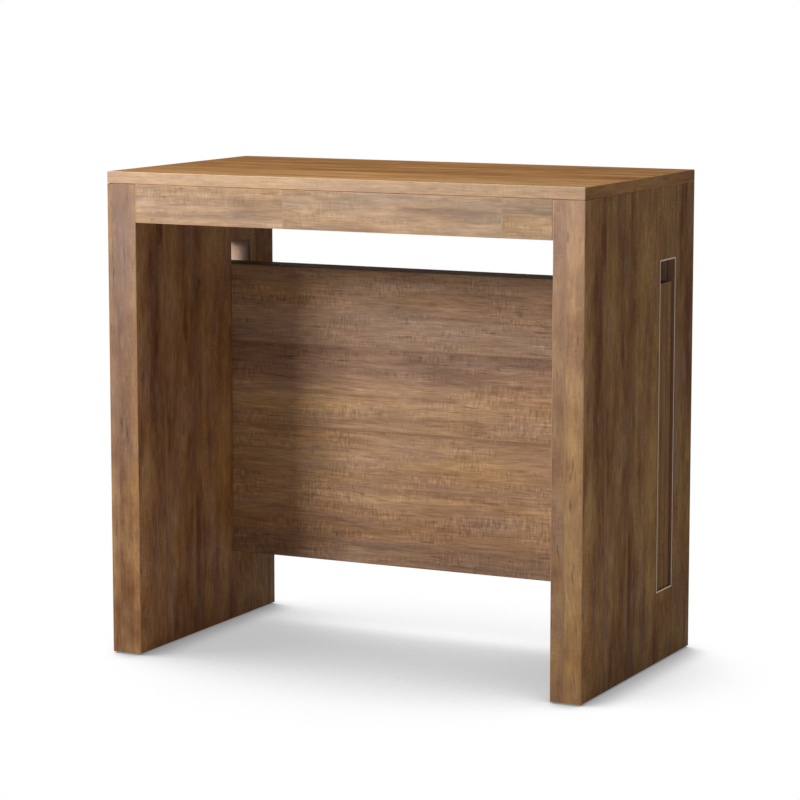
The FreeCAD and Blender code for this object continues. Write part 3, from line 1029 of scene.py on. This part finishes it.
def add_screw(shape, seat, outward):
    """One screw head that stands on a seat and points outward."""
    turn = Vector((0, 0, 1)).rotation_difference(Vector(outward)).to_matrix().to_4x4()
    half_step = Matrix.Rotation(math.pi / head_sides, 4, "Z")
    head = bmesh.new()
    bmesh.ops.create_circle(head, cap_ends=True, segments=head_sides, radius=head_radius, matrix=half_step)
    crown = lifted(head, head.faces[:], head_height)
    top_face = [face for face in head.faces if all(vert in crown for vert in face.verts)][0]
    bmesh.ops.bevel(
        head, geom=top_face.edges[:], offset=crown_bevel, affect="EDGES", segments=3, profile=0.5, material=-1)
    top_face = max(head.faces, key=lambda face: face.calc_center_median().z)
    bmesh.ops.inset_individual(head, faces=[top_face], thickness=recess_inset)
    for vert in top_face.verts:
        angle = math.degrees(math.atan2(vert.co.y, vert.co.x)) % 90
        share = recess_notch_share if abs(angle - notch_degrees) < slack_degrees else recess_reach_share
        vert.co.xy = vert.co.xy.normalized() * head_radius * share
    lifted(head, [top_face], -recess_depth)
    bmesh.ops.delete(head, geom=[top_face], context="FACES_ONLY")
    bmesh.ops.recalc_face_normals(head, faces=head.faces[:])
    bmesh.ops.transform(head, matrix=Matrix.Translation(seat) @ turn, verts=head.verts[:])
    join_shape(shape, head)


print("screw head:", 2000 * head_radius, "mm wide")

# %% Crossbar and angle screws
crossbar_screw_spread = 0.010
angle_screw_spread = 0.009
angle_screw_inset = 0.012
angle_thickness = 0.003

for stage in stages:
    bar_low, bar_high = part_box(stage + "_crossbar")
    rail_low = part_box("right_" + stage + "_rail")[0]
    reach = bar_high.x - (bar_high.x - rail_low.x) / 2
    shape = bmesh.new()
    for sign in (-1, 1):
        for step in (-1, 1):
            along = (bar_low.y + bar_high.y) / 2 + step * crossbar_screw_spread
            add_screw(shape, Vector((sign * reach, along, bar_low.z)), (0, 0, -1))
    add_piece(stage + "_crossbar_screws", shape, stage, zinc_steel)

low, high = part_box("right_end_bracket")
shape = bmesh.new()
for sign in (-1, 1):
    for step in (-1, 1):
        height = (low.z + high.z) / 2 + step * angle_screw_spread
        foot_seat = Vector((sign * (low.x + angle_screw_inset), low.y + angle_thickness, height))
        arm_seat = Vector((sign * (high.x - angle_thickness), high.y - angle_screw_inset, height))
        add_screw(shape, foot_seat, (0, 1, 0))
        add_screw(shape, arm_seat, (-sign, 0, 0))
add_piece("end_bracket_screws", shape, "front_frame", zinc_steel)
print("screws:", 4 * len(stages) + 8)

# %% [markdown]
# ## Caps in the rail ends
# A rail is hollow above and below its dovetail, and a moulded cap closes each hollow so that the sawn ends
# are safe to touch. A plate over the whole end would be simpler, but the next rail slides through the
# dovetail, so each cap covers one hollow alone.

# %% Rail caps
cap_thickness = 0.0014
cap_bevel = 0.0005
cap_height_share = 0.31
rail_wall_width = 0.012


def rail_caps(rail, body, at_front, at_back):
    """Caps for the open ends of the left and right rail of one member."""
    low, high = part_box("right_" + rail)
    cap_height = (high.z - low.z) * cap_height_share
    size = (rail_wall_width, cap_thickness, cap_height)
    inside = low.x + rail_wall_width / 2
    places = []
    if at_front:
        places.append(low.y - cap_thickness / 2)
    if at_back:
        places.append(high.y + cap_thickness / 2)
    shape = bmesh.new()
    for sign in (-1, 1):
        for along in places:
            for height in (low.z + cap_height / 2, high.z - cap_height / 2):
                middle = Vector((sign * inside, along, height))
                join_shape(shape, soft_block(middle, size, cap_bevel, segments=2))
    return add_piece(rail + "_caps", shape, body, dark_plastic)


for stage in stages:
    rail_caps(stage + "_rail", stage, at_front=True, at_back=True)
rail_caps("fixed_rail", "frame", at_front=True, at_back=False)
rail_caps("end_rail", "front_frame", at_front=False, at_back=True)
print("capped members:", len(stages) + 2)

# %% [markdown]
# ## Slide strips
# A thin tan strip is glued to the rear wall of each slot, so that the last leaf slides past the board
# without rubbing its print. Through the left finger gap it shows as a small bright patch, because light
# comes in from the side there. The studio's lamps don't reach it, and a stronger lamp would change the whole
# table. So a small lamp stands outside the left leg for it, and lights nothing else.

# %% Slide strips and their lamp
strip_thickness = 0.0005
strip_inset = 0.0015
strip_bevel = 0.00015
strips = {}
for side in ("left", "right"):
    panel_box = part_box(side + "_side_panel")
    slot_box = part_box(side + "_slot_trim")
    inner = panel_box[1].x if side == "left" else panel_box[0].x
    outer = slot_box[1].x if side == "left" else slot_box[0].x
    wall = slot_box[1].y - trim_wall
    middle = Vector(((inner + outer) / 2, wall - strip_thickness / 2, (slot_box[0].z + slot_box[1].z) / 2))
    length = slot_box[1].z - slot_box[0].z - 2 * trim_wall
    size = (abs(inner - outer) - 2 * strip_inset, strip_thickness, length - 2 * strip_inset)
    shape = soft_block(middle, size, strip_bevel, segments=1)
    strips[side] = add_piece(side + "_slide_strip", shape, "frame", pale_strip)

gap_lamp = softbox(
    "gap_lamp", place=(-1.03, -0.94, 0.88), aim=(-0.375, 0.14, 0.605), width=0.30, height=0.20, watts=8)
only_strip = bpy.data.collections.new("only_strip")
only_strip.objects.link(strips["left"])
gap_lamp.light_linking.receiver_collection = only_strip
print("slide strips:", [piece.name for piece in strips.values()])
